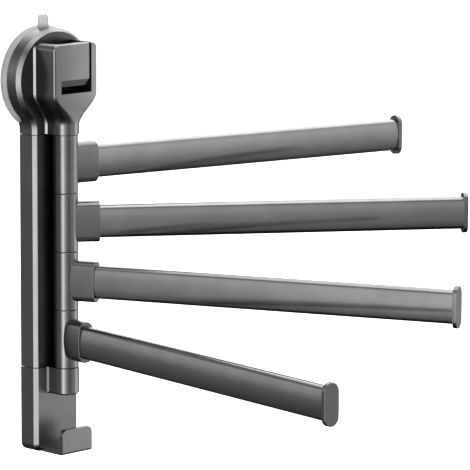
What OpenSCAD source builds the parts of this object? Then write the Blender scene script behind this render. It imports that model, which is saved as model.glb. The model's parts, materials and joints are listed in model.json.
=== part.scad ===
/* [Arms] */
// Length of an arm from the shaft's axis to the outer face of its end cap
arm_l = 300; // [160:10:420]
// Height that one arm takes on the shaft
arm_pitch = 43; // [40:1:60]
// Height of the hollow bar's section
bar_h = 24.2; // [20:0.2:28]
// Thickness of the hollow bar's section
bar_t = 11.4; // [9:0.2:12]
// Wall of the hollow bar
bar_wall = 1.2; // [0.8:0.1:1.6]
// Distance that the boss stands above and below the bar
boss_rim = 2.9; // [2.6:0.1:4]
// Thickness of the boss that the bar plugs into
boss_t = 13.6; // [13.2:0.1:15]
// Reach of the boss from the shaft's axis
boss_reach = 24.6; // [23:0.2:36]
// Length of bar that is inside the boss
bar_grip = 12; // [8:0.5:13]
// Distance that the end cap's flange stands above and below the bar
cap_rim = 3; // [1:0.1:4]
// Thickness of the end cap's flange across the arm
cap_t = 13.1; // [12.2:0.1:15]
// Thickness of the end cap's flange along the arm
cap_l = 3.3; // [2:0.1:5]
// Length of the end cap's plug inside the bar
plug_l = 14; // [8:1:24]
// Direction of the top arm, where 0 lies along the wall and -90 points straight out
arm_1_angle = -11.5; // [-180:0.5:0]
// Direction of the second arm
arm_2_angle = -35.5; // [-180:0.5:0]
// Direction of the third arm
arm_3_angle = -66; // [-180:0.5:0]
// Direction of the lowest arm
arm_4_angle = -96.5; // [-180:0.5:0]

/* [Shaft] */
// Radius of the arm hubs
hub_r = 9.15; // [8:0.05:10]
// Radius of the steel shaft
shaft_r = 3; // [2.4:0.2:3.6]
// Radial clearance of every turning or sliding fit
run_clear = 0.05; // [0.02:0.01:0.1]
// Thickness of a friction washer between the hubs
washer_t = 0.5; // [0.3:0.1:1]
// Distance that a friction washer is set in from the hub's side
washer_inset = 0.8; // [0.4:0.1:2]
// Outer radius of the shaft's two bushes
bush_r = 5; // [4.6:0.1:5.6]
// Length of each bush
bush_l = 11.5; // [8:0.5:12]
// Gap between the hubs and the rail's front
hub_gap = 0.35; // [0.3:0.05:1]

/* [Rail] */
// Width of the rail
rail_w = 42.6; // [40:0.2:48]
// Thickness of the rail
rail_t = 16.5; // [14.5:0.1:20]
// Bevel along the front edges of the rail, the head and the bracket, measured across the front
bevel_w = 2.4; // [1.5:0.1:3.2]
// The same bevel, measured along the depth
bevel_d = 3; // [1.5:0.1:3.4]
// Distance between the wall and the rail's back
wall_gap = 2; // [1:0.1:3]
// Wall of the rail and the other shells
shell_t = 2.4; // [1.8:0.1:3]
// Thickness of the cover behind the rail
cover_t = 2; // [1.5:0.1:2.5]
// Gap at the seams between the rail and its neighbours
seam_gap = 0.4; // [0.1:0.1:0.6]
// Clearance around pieces that plug in
fit_clear = 0.1; // [0.05:0.05:0.2]

/* [Head] */
// Radius of the round head
head_r = 36.8; // [35:0.1:40]
// Depth of the round head's side, from its back to its front face
head_depth = 12.6; // [12:0.1:14]
// Length of neck below the round head, down to the seam at the top of the rail
neck_l = 2.8; // [2.6:0.1:12]
// Length of the neck's straight sides above that seam
neck_side = 3; // [1:0.1:5]
// Distance that the suction cup's rim stands out beyond the head
cup_out = 1.5; // [0.4:0.1:2]
// Width of the cup's flat sealing ring
seal_w = 8.3; // [4:0.1:12]
// Height of the dome that the locked rod pulls up in the cup
dome_h = 3; // [1.5:0.5:3.5]
// Width of the tab that peels the cup off the wall
tab_w = 9.8; // [8:0.2:14]
// Length of the tab beyond the cup's rim
tab_l = 7.9; // [5:0.1:14]

/* [Lever] */
// Height of the lever housing's top above the head's centre
housing_top = 27.6; // [26:0.2:30]
// Distance that the lever housing's face stands in front of its collar
housing_proud = 2.3; // [0.3:0.1:4]
// Radius of the housing's upper corners
housing_corner = 5; // [2.5:0.1:6]
// Rounding along the housing's front edges
housing_edge = 2.1; // [1:0.1:3]
// Drop from the head's centre to where the housing starts to narrow
narrow_start = 9; // [8:0.5:12]
// Height of the straight collar above the hubs
collar_h = 6.6; // [6:0.1:8]
// Half width and front radius of the collar around the shaft
collar_r = 10.2; // [9.4:0.1:11]
// Width of the housing's cheek on each side of the lever's window
cheek_w = 6.5; // [5.4:0.1:7]
// Drop from the head's centre to the window's sill
sill_drop = 8.7; // [8.4:0.1:8.9]
// Gap between the lever's side and the window
lever_gap = 0.8; // [0.5:0.1:1.5]
// Distance that the lever's face is set back from the housing's face
lever_sink = 1.2; // [0.2:0.1:2]
// Thickness of the lever's handle
lever_t = 5; // [3.5:0.1:6]
// Travel of the pull rod when the lever is opened
rod_travel = 3; // [2:0.1:3]
// Radius of the pull rod
rod_r = 4; // [3:0.1:4]
// Radius of the lever's cross pin
pin_r = 1.5; // [1:0.1:1.8]

/* [Bracket] */
// Drop from the lower seam to the bracket's bottom
bracket_drop = 63; // [56:0.2:80]
// Radius of the bracket's bottom corners
bracket_corner = 6.3; // [4:0.1:10]
// Half width and front radius of the socket under the hubs
socket_r = 9.6; // [8.5:0.1:10.4]
// Height of the socket under the hubs
socket_h = 19.8; // [19:0.2:26]
// Width of the hook
hook_w = 29.2; // [20:0.2:36]
// Distance from the rail's front to the hook's front
hook_reach = 21.3; // [14:0.1:30]
// Height of the hook's upright
hook_h = 18.6; // [14:0.2:28]
// Thickness of the hook
hook_t = 4; // [2:0.1:5]
// Radius of the hook's upper corners
hook_corner = 4.6; // [2:0.1:6]
// Outer radius of the bend between the hook's floor and its upright
hook_bend = 2.2; // [1:0.1:3.5]

/* [Screws] */
// Shank radius of the screws that hold the housing, the cover and the shaft
screw_r = 1.5; // [1.2:0.1:1.6]
// Head radius of those screws
screw_head_r = 2.8; // [2.4:0.1:3]
// Head height of those screws
screw_head_h = 2; // [1.5:0.1:2.4]
// Shank radius of the screws that hold the bars
bar_screw_r = 1.2; // [1:0.1:1.5]
// Head radius of the screws that hold the bars
bar_screw_head_r = 2.3; // [2:0.1:2.6]

/* [Hidden] */

$fn = 96;
// Overrun of every cut past the face that it leaves
over = 1;
arm_angles = [arm_1_angle, arm_2_angle, arm_3_angle, arm_4_angle];
arm_count = len(arm_angles);
gunmetal = [0.3, 0.3, 0.3];
steel = [0.7, 0.7, 0.72];
soft_clear = [0.82, 0.84, 0.85];
nylon = [0.12, 0.12, 0.12];

// Depths are measured from the wall
rail_front = wall_gap + rail_t;
rail_half = rail_w / 2;
shaft_depth = rail_front + hub_gap + hub_r;
head_back = rail_front - head_depth;
housing_front = shaft_depth + collar_r + housing_proud;
housing_depth = housing_front - rail_front;
lever_front = housing_front - lever_sink;
shell_face = rail_front - shell_t;
hook_front = rail_front + hook_reach;

// Heights are measured from the head's centre
head_drop = head_r + neck_l;
narrow_end = head_drop - collar_h;
top_seam = -head_drop;
bottom_seam = top_seam - arm_count * arm_pitch;
bracket_bottom = bottom_seam - bracket_drop;
socket_bottom = bottom_seam - socket_h;

// Round that blends the head into the rail's sides, touching both
neck_drop = head_drop - neck_side;
neck_r = (pow(neck_drop, 2) + pow(rail_half, 2) - pow(head_r, 2)) / (2 * (head_r - rail_half));
neck_x = rail_half + neck_r;
neck_steps = 8;
head_steps = 72;
turn_steps = 10;
corner_least = 0.5;

// Inside of the rail's channel and the tongues that plug into it
channel_half = rail_half - shell_t;
tongue_l = 14;
tongue_root = 1;
tongue_back = wall_gap + cover_t + fit_clear;
post_r = 4;
cover_heights = [top_seam - tongue_l / 2, (top_seam + bottom_seam) / 2, bottom_seam + tongue_l / 2];
cover_screw_l = 9;

// Cup, tab and backing plate
cup_r = head_r + cup_out;
seal_r = cup_r - seal_w;
tab_top = cup_r + tab_l;
cup_lip = 0.8;
cup_band = 2.6;
cup_clear = 0.2;
cup_boss_r = 12;
cup_boss_h = 2.6;
cup_boss_top = head_back + cup_boss_h;
cup_steps = 10;
foot_r = 9;
foot_t = 2;
foot_cover = 1.4;
foot_depth = dome_h + foot_cover;
tab_t = 1.5;
tab_corner = 2.4;
tab_rib_w = 0.7;
tab_rib_t = 0.35;
tab_rib_count = 4;
tab_back = head_back - cup_clear - tab_t - tab_rib_t;
plate_r = head_r - shell_t - fit_clear;
plate_t = 5.4;
plate_web = 2.4;
plate_rim = 2.4;
boss_room = 1;
guide_r = 7;
guide_hole_r = rod_r + run_clear;

// Lever, its cam and the seat that the cam bears on
pin_inset = 7.5;
pin_depth = lever_front - pin_inset;
cam_low = 4.4;
cam_offset = rod_travel / 2;
cam_r = cam_low + cam_offset;
cam_depth = pin_depth - cam_offset;
cam_clear = 0.3;
cam_steps = 30;
lip_steps = 12;
seat_depth = pin_depth - cam_r - cam_offset - cam_clear;
seat_top = 8.4;
lip_r = 5.3;
lip_height = lip_r - cam_low;
window_w = rail_w - 2 * cheek_w;
lever_w = window_w - 2 * lever_gap;
lever_drop = 0.3;
lever_top = housing_top - lever_drop;
lever_bevel = 0.9;
lever_foot = 13;
eye_half = 3;
eye_clear = 0.35;
pin_inset_side = 0.6;
pin_l = lever_w - 2 * pin_inset_side;
flange_out = 0.8;

// Screws that hold the housing, as places across and up
cheek_screw_x = (window_w / 2 + rail_half) / 2;
cheek_screw_high = 19;
cheek_screw_low = -4;
neck_screw_rise = 4.85;
neck_screw_low = top_seam + washer_t / 2 + bush_l + neck_screw_rise;
screw_places = [
    [-cheek_screw_x, cheek_screw_high], [cheek_screw_x, cheek_screw_high],
    [-cheek_screw_x, cheek_screw_low], [cheek_screw_x, cheek_screw_low],
    [0, neck_screw_low]
];
screw_seat = head_back + plate_t - plate_web;
housing_screw_l = 20;
standoff_r = 4;
hex_share = 0.55;
hex_depth = 1.2;

// Bosses, caps and the screws in the arms
boss_h = bar_h + 2 * boss_rim;
cap_h = bar_h + 2 * cap_rim;
hub_chamfer = 0.35;
bar_start = boss_reach - bar_grip;
cap_clear = 0.1;
bar_screw_reach = boss_reach - bar_grip / 2;
bar_screw_head_h = 1.6;
bar_screw_l = 5;
bar_screw_sink = 0.6;
shaft_screw_l = 12;
shaft_screw_sink = 0.6;
socket_chamfer = 1.2;
bend_steps = 10;

// Turns a drawing of across, up and depth from the wall into place
module facing() { rotate([90, 0, 0]) children(); }

// Turns a drawing of depth and height into place, extruded across
module side_on() { rotate([90, 0, 90]) children(); }

module stadium(thick, high) {
    square([thick, high - thick], center = true);
    for (side = [-1, 1]) translate([0, side * (high - thick) / 2]) circle(d = thick);
}

module arm_extrude(start, end, thick, high) {
    translate([start, 0, 0]) side_on() linear_extrude(end - start) stadium(thick, high);
}

module arm_place(i) {
    translate([0, -shaft_depth, top_seam - (i + 0.5) * arm_pitch]) rotate([0, 0, arm_angles[i]]) children();
}

// A round column with both rims bevelled, standing on its centre
module rimmed_column(r, h, edge) {
    rotate_extrude() polygon([
        [0, -h / 2], [r - edge, -h / 2], [r, edge - h / 2],
        [r, h / 2 - edge], [r - edge, h / 2], [0, h / 2]
    ]);
}

// A screw whose head seats at height zero and whose shank points up
module screw(shank_r, shank_l, head_r, head_h) {
    difference() {
        union() {
            cylinder(r = shank_r, h = shank_l);
            translate([0, 0, -head_h]) cylinder(r = head_r, h = head_h);
        }
        translate([0, 0, -head_h - over]) cylinder(r = head_r * hex_share, h = hex_depth + over, $fn = 6);
    }
}

// Plan of the rail, drawn in by inset on every side and open at the back
module rail_plan(inset, back) {
    w = rail_half - inset;
    f = rail_front - inset;
    polygon([
        [-w, -back], [-w, bevel_d - f], [bevel_w - w, -f],
        [w - bevel_w, -f], [w, bevel_d - f], [w, -back]
    ]);
}

// Outline of the head and its neck as across and up, drawn in by inset and ending at low
function arc(x, y, r, from, to, steps) = [for (k = [0:steps])
    [x + r * cos(from + (to - from) * k / steps), y + r * sin(from + (to - from) * k / steps)]];
function head_outline(inset, low) = let(
    meet = atan2(neck_drop, neck_x),
    right = arc(neck_x, -neck_drop, neck_r + inset, 180, 180 - meet, neck_steps),
    top = arc(0, 0, head_r - inset, -meet, 180 + meet, head_steps),
    left = arc(-neck_x, -neck_drop, neck_r + inset, meet, 0, neck_steps)
) concat(
    [[rail_half - inset, low]], right,
    [for (k = [1:head_steps - 1]) top[k]],
    left, [[inset - rail_half, low]]
);

// Outer form of the head and its neck, drawn in by inset
module head_form(inset, back) {
    f = rail_front - inset;
    levels = [[back, inset], [f - bevel_d, inset], [f, inset + bevel_w]];
    facing() loft([for (level = levels)
        [for (p = head_outline(level[1], top_seam + inset)) [p[0], p[1], level[0]]]]);
}

// Outline of the bracket's plate as across and up, drawn in by inset and ending at top
function bracket_outline(inset, top) = let(
    r = max(bracket_corner - inset, corner_least),
    x = rail_half - inset - r,
    z = bracket_bottom + inset + r
) concat(
    [[inset - rail_half, top]],
    arc(-x, z, r, 180, 270, turn_steps), arc(x, z, r, 270, 360, turn_steps),
    [[rail_half - inset, top]]
);

// Outer form of the bracket's plate, drawn in by inset
module bracket_form(inset, back) {
    f = rail_front - inset;
    levels = [[back, inset], [f - bevel_d, inset], [f, inset + bevel_w]];
    facing() loft([for (level = levels)
        [for (p = bracket_outline(level[1], bottom_seam - seam_gap - inset)) [p[0], p[1], level[0]]]]);
}

// Tongue that plugs into the rail's channel, from low to high
module tongue(low, high) {
    translate([0, 0, low]) linear_extrude(high - low) rail_plan(shell_t + fit_clear, tongue_back);
}

module post_hole(height) {
    facing() translate([0, height, 0]) cylinder(r = post_r + fit_clear, h = shell_face + over);
}

// Half width of the lever housing at a height
function narrow_share(z) = min(1, max(0, (z + narrow_end) / (narrow_end - narrow_start)));
function smooth(t) = t * t * (3 - 2 * t);
function corner_drop(z) = max(0, z - housing_top + housing_corner);
function corner_cut(z) = housing_corner - sqrt(max(0, pow(housing_corner, 2) - pow(corner_drop(z), 2)));
function blend(low, high, z) = low + (high - low) * smooth(narrow_share(z));
function housing_half(z) = blend(collar_r, rail_half, z) - corner_cut(z);
function edge_drop(z) = max(0, z - housing_top + housing_edge);
function edge_cut(z) = housing_edge - sqrt(max(0, pow(housing_edge, 2) - pow(edge_drop(z), 2)));
function housing_face(z) = blend(shaft_depth + collar_r, housing_front, z) - edge_cut(z);
function housing_round(z) = blend(collar_r, housing_edge, z);

// One level of a loft: half width w, front depth f and front corner radius r
function loft_level(z, w, f, r, steps) = concat(
    [[-w, -rail_front, z]],
    [for (k = [0:steps]) [-w + r - r * cos(90 * k / steps), -f + r - r * sin(90 * k / steps), z]],
    [for (k = [0:steps]) [w - r + r * sin(90 * k / steps), -f + r - r * cos(90 * k / steps), z]],
    [[w, -rail_front, z]]
);

// Faces that close a symmetric outline of n points, in strips from one side to the other
function loft_end(n, first) = [for (k = [0:ceil(n / 2) - 2])
    each concat(
        [[first + k, first + k + 1, first + n - 1 - k]],
        k + 1 < n - 2 - k ? [[first + k + 1, first + n - 2 - k, first + n - 1 - k]] : []
    )];

// Solid through levels of points, each an outline that is symmetric from left to right
module loft(levels) {
    n = len(levels[0]);
    m = len(levels);
    polyhedron(
        points = [for (level = levels) each level],
        faces = concat(
            loft_end(n, 0),
            [for (face = loft_end(n, (m - 1) * n)) [face[2], face[1], face[0]]],
            [for (j = [0:m - 2], k = [0:n - 1])
                each [
                    [j * n + k, (j + 1) * n + k, j * n + (k + 1) % n],
                    [j * n + (k + 1) % n, (j + 1) * n + k, (j + 1) * n + (k + 1) % n]
                ]]
        )
    );
}

collar_bottom = top_seam + washer_t / 2;
narrow_steps = 12;
corner_steps = 5;
edge_steps = 5;
top_step_share = 0.97;
housing_heights = concat(
    [collar_bottom],
    [for (k = [0:narrow_steps]) -narrow_end + (narrow_end - narrow_start) * k / narrow_steps],
    [for (k = [0:corner_steps])
        housing_top - housing_corner * (1 - top_step_share * sin(90 * k / corner_steps))]
);

module suction_cup() {
    color(soft_clear) {
        difference() {
            facing() rotate_extrude() polygon(concat(
                [[seal_r, 0], [cup_r - cup_lip, 0], [cup_r, cup_lip], [cup_r, cup_band]],
                [[head_r - cup_lip, head_back], [cup_boss_r, head_back]],
                [[cup_boss_r, cup_boss_top], [0, cup_boss_top]],
                [for (k = [0:cup_steps - 1])
                    [seal_r * k / cup_steps, dome_h * (1 - pow(k / cup_steps, 2))]]
            ));
            facing() translate([0, 0, foot_depth - run_clear]) {
                cylinder(r = foot_r + run_clear, h = foot_t + 2 * run_clear);
            }
            facing() translate([0, 0, foot_depth]) cylinder(r = guide_hole_r, h = cup_boss_top);
        }
        facing() translate([0, 0, tab_back]) {
            linear_extrude(tab_t) {
                corner_x = tab_w / 2 - tab_corner;
                translate([-tab_w / 2, seal_r]) square([tab_w, tab_top - tab_corner - seal_r]);
                translate([-corner_x, seal_r]) square([2 * corner_x, tab_top - seal_r]);
                for (side = [-1, 1]) {
                    translate([side * corner_x, tab_top - tab_corner]) circle(tab_corner);
                }
            }
            for (k = [1:tab_rib_count]) {
                across = tab_w * (k / (tab_rib_count + 1) - 0.5) - tab_rib_w / 2;
                translate([across, cup_r + tab_rib_w, tab_t]) {
                    cube([tab_rib_w, tab_top - tab_corner - cup_r, tab_rib_t]);
                }
            }
        }
    }
}

module backing_plate() {
    web_top = head_back + plate_t;
    web_back = web_top - plate_web;
    hole_r = cup_boss_r + boss_room;
    color(nylon) difference() {
        facing() {
            rotate_extrude() polygon([
                [guide_hole_r, web_back], [hole_r, web_back], [hole_r, head_back],
                [plate_r, head_back], [plate_r, shell_face - bevel_d],
                [plate_r - plate_rim, shell_face - bevel_d],
                [plate_r - plate_rim, web_top], [guide_r, web_top],
                [guide_r, shell_face], [guide_hole_r, shell_face]
            ]);
            for (p = screw_places) translate([p[0], p[1], web_back]) {
                cylinder(r = standoff_r, h = shell_face - web_back);
            }
        }
        for (p = screw_places) facing() translate([p[0], p[1], 0]) {
            cylinder(r = screw_r + fit_clear, h = shell_face + over);
            cylinder(r = screw_head_r + fit_clear, h = screw_seat);
        }
    }
}

module head_shell() {
    color(gunmetal) difference() {
        union() {
            difference() {
                head_form(0, wall_gap);
                head_form(shell_t, wall_gap - over);
            }
            tongue(top_seam - tongue_l, top_seam + shell_t + tongue_root);
        }
        facing() cylinder(r = cup_r + cup_clear, h = head_back);
        facing() cylinder(r = guide_hole_r + boss_room, h = rail_front + over);
        for (p = screw_places) facing() translate([p[0], p[1], 0]) {
            cylinder(r = screw_r + fit_clear, h = rail_front + over);
        }
        post_hole(cover_heights[0]);
    }
}

module lever_housing() {
    window_half = window_w / 2;
    color(gunmetal) difference() {
        union() {
            loft([for (z = housing_heights)
                loft_level(z, housing_half(z), housing_face(z), housing_round(z), edge_steps)]);
            loft([for (z = housing_heights)
                loft_level(z, housing_half(z) + flange_out, rail_front + 2 * flange_out, flange_out, 1)]);
        }
        facing() translate([-window_half, -sill_drop, seat_depth]) {
            cube([window_w, housing_top + sill_drop + over, housing_depth]);
        }
        facing() translate([-window_half, seat_top, rail_front - over]) {
            cube([window_w, housing_top, housing_depth]);
        }
        facing() cylinder(r = guide_hole_r, h = housing_front);
        for (p = screw_places) facing() translate([p[0], p[1], rail_front - over]) {
            cylinder(r = screw_r, h = screw_seat + housing_screw_l - rail_front + 2 * over);
        }
        translate([0, -shaft_depth, collar_bottom - over]) cylinder(r = bush_r, h = bush_l + 2 * over);
    }
}

module housing_screws() {
    color(steel) for (p = screw_places) facing() translate([p[0], p[1], screw_seat]) {
        screw(screw_r, housing_screw_l, screw_head_r, screw_head_h);
    }
}

// Hole for the cross pin, reaching out to both sides
module cross_hole(reach) {
    translate([-reach, -pin_depth, 0]) side_on() cylinder(r = pin_r + run_clear, h = 2 * reach);
}

module pull_rod() {
    color(steel) difference() {
        union() {
            facing() translate([0, 0, foot_depth]) cylinder(r = foot_r, h = foot_t);
            facing() translate([0, 0, foot_depth]) cylinder(r = rod_r, h = seat_depth - foot_depth);
            intersection() {
                facing() cylinder(r = rod_r, h = housing_front);
                translate([-eye_half, -housing_front, -rod_r]) {
                    cube([2 * eye_half, housing_front - foot_depth, 2 * rod_r]);
                }
                union() {
                    translate([-rod_r, -pin_depth, 0]) side_on() cylinder(r = rod_r, h = 2 * rod_r);
                    translate([-rod_r, -pin_depth, -rod_r]) {
                        cube([2 * rod_r, pin_depth - foot_depth, 2 * rod_r]);
                    }
                }
            }
        }
        cross_hole(rod_r + over);
    }
}

module lever_pin() {
    color(steel) translate([-pin_l / 2, -pin_depth, 0]) side_on() cylinder(r = pin_r, h = pin_l);
}

// Side view of the lever as depth and height: handle, cam and the rounded lip
module lever_side() {
    back = lever_t - lever_front;
    polygon(concat(
        [[-lever_front, lever_top - lever_bevel], [lever_bevel - lever_front, lever_top]],
        [[back, lever_top], [back, lever_foot]],
        arc(-cam_depth, cam_offset, cam_r, 90, -90, cam_steps),
        arc(lip_r - lever_front, lip_height, lip_r, -90, -180, lip_steps)
    ));
}

module lever() {
    slot_half = eye_half + eye_clear;
    color(gunmetal) difference() {
        translate([-lever_w / 2, 0, 0]) side_on() linear_extrude(lever_w) lever_side();
        translate([-slot_half, -pin_depth - rod_r - eye_clear, -cam_low - over]) {
            cube([2 * slot_half, housing_depth, cam_low + over + rod_r + eye_clear]);
        }
        cross_hole(lever_w / 2 + over);
    }
}

module rail() {
    color(gunmetal) translate([0, 0, bottom_seam]) {
        linear_extrude(top_seam - bottom_seam - seam_gap) difference() {
            rail_plan(0, wall_gap);
            rail_plan(shell_t, wall_gap - over);
        }
    }
    color(gunmetal) facing() for (z = cover_heights) translate([0, z, tongue_back]) {
        difference() {
            cylinder(r = post_r, h = shell_face - tongue_back);
            translate([0, 0, -over]) cylinder(r = screw_r, h = cover_screw_l + over);
        }
    }
}

module rail_cover() {
    half = channel_half - fit_clear;
    color(nylon) difference() {
        translate([-half, -wall_gap - cover_t, bottom_seam + seam_gap]) {
            cube([2 * half, cover_t, top_seam - bottom_seam - 2 * seam_gap]);
        }
        for (z = cover_heights) facing() translate([0, z, 0]) {
            cylinder(r = screw_r + fit_clear, h = rail_front);
            cylinder(r = screw_head_r + fit_clear, h = wall_gap + screw_head_h / 2);
        }
    }
}

module cover_screws() {
    color(steel) facing() for (z = cover_heights) translate([0, z, wall_gap + screw_head_h / 2]) {
        screw(screw_r, cover_screw_l, screw_head_r, screw_head_h / 2);
    }
}

// Front view of the hook, as across and up
module hook_face() {
    half = hook_w / 2;
    translate([-half, -over]) square([hook_w, hook_h - hook_corner + over]);
    translate([hook_corner - half, 0]) square([hook_w - 2 * hook_corner, hook_h]);
    for (side = [-1, 1]) translate([side * (half - hook_corner), hook_h - hook_corner]) circle(hook_corner);
}

// Side view of the hook as depth and height: floor, round outer bend and upright
module hook_side() {
    root = -rail_front + hook_t / 2;
    inner = hook_t - hook_front;
    polygon(concat(
        [[root, hook_t], [inner, hook_t], [inner, hook_h + over], [-hook_front, hook_h + over]],
        arc(hook_bend - hook_front, hook_bend, hook_bend, 180, 270, bend_steps),
        [[root, 0]]
    ));
}

module hook() {
    translate([0, 0, bracket_bottom]) intersection() {
        translate([-hook_w / 2 - over, 0, 0]) side_on() linear_extrude(hook_w + 2 * over) hook_side();
        facing() translate([0, 0, shell_face]) linear_extrude(hook_front) hook_face();
    }
}

// Socket under the hubs: round in front, with flat sides that reach the plate
module socket_body() {
    socket_top = bottom_seam - washer_t / 2;
    high = socket_top - socket_bottom;
    translate([0, -shaft_depth, socket_bottom]) rotate_extrude() {
        polygon([
            [0, 0], [socket_r - socket_chamfer, 0], [socket_r, socket_chamfer], [socket_r, high], [0, high]
        ]);
    }
    facing() translate([0, socket_bottom, shell_face]) linear_extrude(shaft_depth - shell_face) polygon([
        [-socket_r, high], [-socket_r, socket_chamfer], [socket_chamfer - socket_r, 0],
        [socket_r - socket_chamfer, 0], [socket_r, socket_chamfer], [socket_r, high]
    ]);
}

module lower_bracket() {
    color(gunmetal) difference() {
        union() {
            difference() {
                bracket_form(0, wall_gap);
                bracket_form(shell_t, wall_gap - over);
            }
            tongue(bottom_seam - shell_t - tongue_root, bottom_seam + tongue_l);
            socket_body();
            hook();
        }
        post_hole(cover_heights[2]);
        translate([0, -shaft_depth, bottom_seam - washer_t / 2 - bush_l]) {
            cylinder(r = bush_r, h = bush_l + over);
        }
        translate([0, -shaft_depth, socket_bottom - over]) cylinder(r = screw_r + fit_clear, h = socket_h);
        translate([0, -shaft_depth, socket_bottom - over]) {
            cylinder(r = screw_head_r + fit_clear, h = screw_head_h + shaft_screw_sink + over);
        }
    }
}

module shaft() {
    low = bottom_seam - washer_t / 2 - bush_l;
    high = collar_bottom + bush_l;
    color(steel) translate([0, -shaft_depth, low]) difference() {
        cylinder(r = shaft_r, h = high - low);
        translate([0, 0, -over]) cylinder(r = screw_r, h = shaft_screw_l + over);
    }
}

module bush(low) {
    color(nylon) translate([0, -shaft_depth, low]) difference() {
        cylinder(r = bush_r - run_clear, h = bush_l);
        translate([0, 0, -over]) cylinder(r = shaft_r + run_clear, h = bush_l + 2 * over);
    }
}

module friction_washers() {
    color(nylon) for (i = [0:arm_count]) {
        translate([0, -shaft_depth, top_seam - i * arm_pitch - washer_t / 2]) difference() {
            cylinder(r = hub_r - washer_inset, h = washer_t);
            translate([0, 0, -over]) cylinder(r = shaft_r + run_clear, h = washer_t + 2 * over);
        }
    }
}

module shaft_screw() {
    color(steel) translate([0, -shaft_depth, socket_bottom + shaft_screw_sink + screw_head_h]) {
        screw(screw_r, shaft_screw_l, screw_head_r, screw_head_h);
    }
}

module arm_hub(i) {
    color(gunmetal) arm_place(i) difference() {
        union() {
            rimmed_column(hub_r, arm_pitch - washer_t, hub_chamfer);
            arm_extrude(0, boss_reach, boss_t, boss_h);
        }
        cylinder(r = shaft_r + run_clear, h = arm_pitch, center = true);
        arm_extrude(bar_start, boss_reach + over, bar_t + 2 * fit_clear, bar_h + 2 * fit_clear);
        translate([bar_screw_reach, 0, -boss_h / 2 - over]) {
            cylinder(r = bar_screw_r + fit_clear, h = boss_h / 2);
            cylinder(r = bar_screw_head_r + fit_clear, h = bar_screw_head_h + bar_screw_sink + over);
        }
    }
}

module arm_bar(i) {
    color(gunmetal) arm_place(i) difference() {
        arm_extrude(bar_start, arm_l - cap_l, bar_t, bar_h);
        arm_extrude(bar_start - over, arm_l, bar_t - 2 * bar_wall, bar_h - 2 * bar_wall);
        translate([bar_screw_reach, 0, -bar_h]) cylinder(r = bar_screw_r, h = bar_h);
    }
}

module arm_cap(i) {
    slack = 2 * (bar_wall + cap_clear);
    color(gunmetal) arm_place(i) {
        arm_extrude(arm_l - cap_l, arm_l, cap_t, cap_h);
        arm_extrude(arm_l - cap_l - plug_l, arm_l - cap_l, bar_t - slack, bar_h - slack);
    }
}

module arm_screw(i) {
    seat = bar_screw_sink + bar_screw_head_h - boss_h / 2;
    color(steel) arm_place(i) translate([bar_screw_reach, 0, seat]) {
        screw(bar_screw_r, bar_screw_l, bar_screw_head_r, bar_screw_head_h);
    }
}

suction_cup();
backing_plate();
head_shell();
lever_housing();
housing_screws();
pull_rod();
lever_pin();
lever();
rail();
rail_cover();
cover_screws();
lower_bracket();
shaft();
bush(collar_bottom);  // upper_bush
bush(bottom_seam - washer_t / 2 - bush_l);  // lower_bush
friction_washers();
shaft_screw();
arm_hub(0);  // arm_1_hub
arm_bar(0);  // arm_1_bar
arm_cap(0);  // arm_1_cap
arm_screw(0);  // arm_1_screw
arm_hub(1);  // arm_2_hub
arm_bar(1);  // arm_2_bar
arm_cap(1);  // arm_2_cap
arm_screw(1);  // arm_2_screw
arm_hub(2);  // arm_3_hub
arm_bar(2);  // arm_3_bar
arm_cap(2);  // arm_3_cap
arm_screw(2);  // arm_3_screw
arm_hub(3);  // arm_4_hub
arm_bar(3);  // arm_4_bar
arm_cap(3);  // arm_4_cap
arm_screw(3);  // arm_4_screw
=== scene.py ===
import json
from math import cos, pi, radians, sin, sqrt

import bmesh
import bpy
from mathutils import Euler, Matrix, Vector

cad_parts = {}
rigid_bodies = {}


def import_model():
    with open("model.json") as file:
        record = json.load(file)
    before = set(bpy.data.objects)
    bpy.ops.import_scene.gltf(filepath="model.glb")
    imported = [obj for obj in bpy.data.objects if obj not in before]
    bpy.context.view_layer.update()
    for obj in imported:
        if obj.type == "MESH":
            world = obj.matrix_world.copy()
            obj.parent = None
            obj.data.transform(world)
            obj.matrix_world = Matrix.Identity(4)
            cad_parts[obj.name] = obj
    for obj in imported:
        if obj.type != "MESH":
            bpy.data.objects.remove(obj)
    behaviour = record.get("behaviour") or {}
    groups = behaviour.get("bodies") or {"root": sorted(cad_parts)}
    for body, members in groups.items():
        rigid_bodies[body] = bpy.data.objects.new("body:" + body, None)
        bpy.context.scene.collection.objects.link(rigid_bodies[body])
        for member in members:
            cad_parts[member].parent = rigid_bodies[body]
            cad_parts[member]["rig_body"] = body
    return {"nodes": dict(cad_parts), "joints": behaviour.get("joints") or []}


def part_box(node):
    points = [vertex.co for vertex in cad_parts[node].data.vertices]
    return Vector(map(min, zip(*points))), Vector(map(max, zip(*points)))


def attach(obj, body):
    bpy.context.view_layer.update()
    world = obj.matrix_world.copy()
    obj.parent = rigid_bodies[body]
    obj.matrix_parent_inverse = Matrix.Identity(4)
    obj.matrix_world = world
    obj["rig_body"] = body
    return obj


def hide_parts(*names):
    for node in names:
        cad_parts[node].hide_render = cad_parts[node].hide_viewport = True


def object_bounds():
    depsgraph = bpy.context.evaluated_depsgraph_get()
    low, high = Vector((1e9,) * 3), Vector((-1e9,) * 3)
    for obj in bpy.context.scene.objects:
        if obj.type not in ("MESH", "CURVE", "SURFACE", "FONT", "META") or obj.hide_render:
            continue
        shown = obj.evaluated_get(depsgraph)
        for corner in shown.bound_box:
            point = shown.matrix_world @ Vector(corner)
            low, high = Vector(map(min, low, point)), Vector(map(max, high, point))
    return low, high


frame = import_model()
cad_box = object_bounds()

MM = 0.001
NODES = frame["nodes"]
SCENE = bpy.context.scene
ARMS = range(1, 5)

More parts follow.
